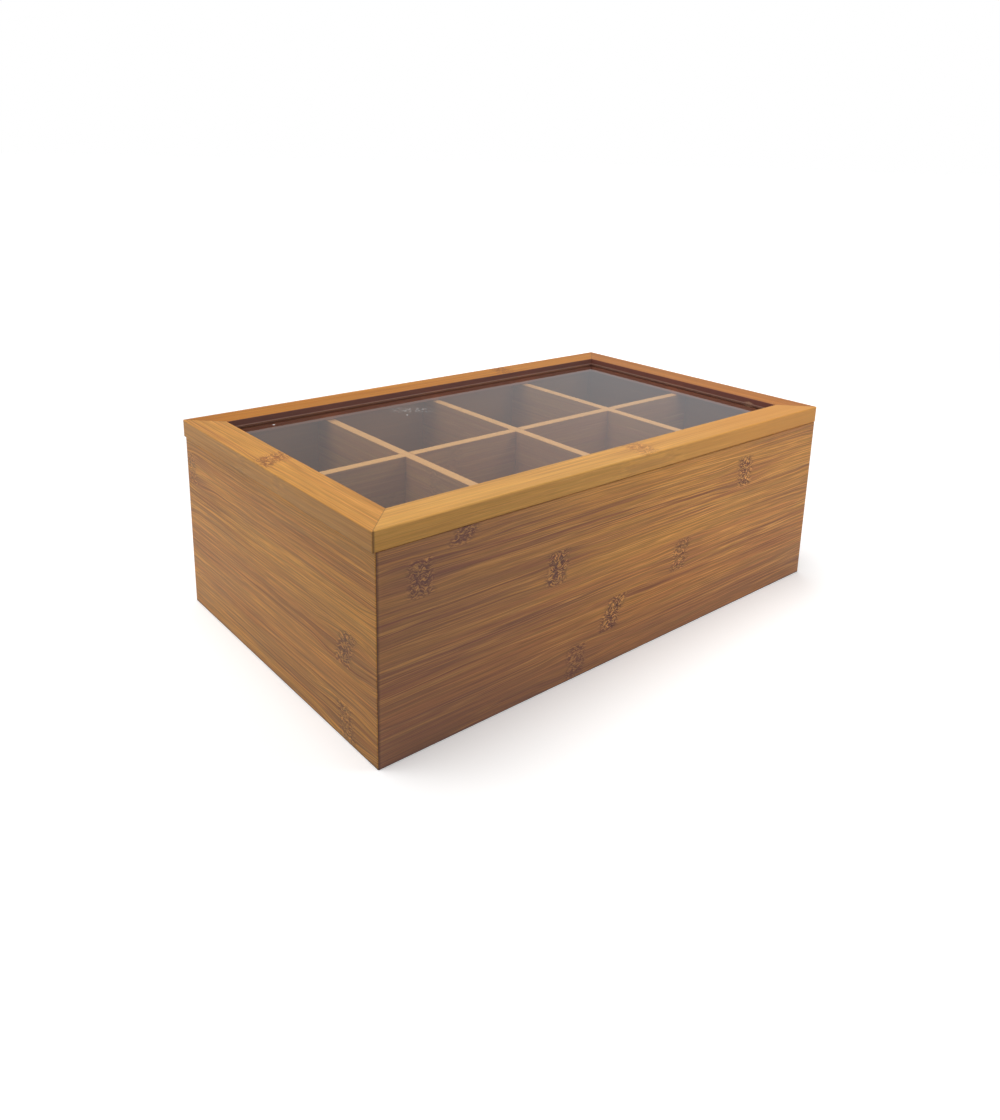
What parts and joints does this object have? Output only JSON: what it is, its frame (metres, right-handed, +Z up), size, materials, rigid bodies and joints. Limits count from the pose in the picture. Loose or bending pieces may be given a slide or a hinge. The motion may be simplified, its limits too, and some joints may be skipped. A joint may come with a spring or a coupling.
{
  "type": "tea bag organizer box",
  "caption": "Rectangular bamboo tea bag box with divided compartments under a hinged lid, whose mitred frame holds a clear window.",
  "frame": {"origin": "on the table, under the middle of the whole box with its hinge barrels", "axes": "+X to the box's right, +Y to its back, where the hinges are, +Z up"},
  "size_m": [0.3324, 0.2082, 0.114],
  "materials": {
    "wall_bamboo": "satin lacquered bamboo strips",
    "bottom_bamboo": "plain bamboo panel",
    "divider_bamboo": "plain sanded bamboo",
    "lid_bamboo": "satin lacquered bamboo",
    "clear_pane": "clear, glossy acrylic",
    "hinge_brass": "brushed brass",
    "screw_brass": "bright brass"
  },
  "bodies": {
    "box": {"front_wall": "wall_bamboo", "back_wall": "wall_bamboo", "left_wall": "wall_bamboo", "right_wall": "wall_bamboo", "bottom_panel": "bottom_bamboo", "long_divider": "divider_bamboo", "cross_divider_left": "divider_bamboo", "cross_divider_centre": "divider_bamboo", "cross_divider_right": "divider_bamboo", "hinge_left_body_leaf": "hinge_brass", "hinge_left_pin": "hinge_brass", "hinge_right_body_leaf": "hinge_brass", "hinge_right_pin": "hinge_brass", "hinge_body_screws": "screw_brass"},
    "lid": {"lid_rail_front": "lid_bamboo", "lid_rail_back": "lid_bamboo", "lid_stile_left": "lid_bamboo", "lid_stile_right": "lid_bamboo", "lid_window": "clear_pane", "hinge_left_lid_leaf": "hinge_brass", "hinge_right_lid_leaf": "hinge_brass", "hinge_lid_screws": "screw_brass"}
  },
  "joints": [
    {"name": "lid_hinge", "type": "hinge", "parent": "box", "child": "lid", "pos_m": [0, 0.10028, 0.104], "axis": [-1, 0, 0], "range_deg": [0, 100]}
  ]
}
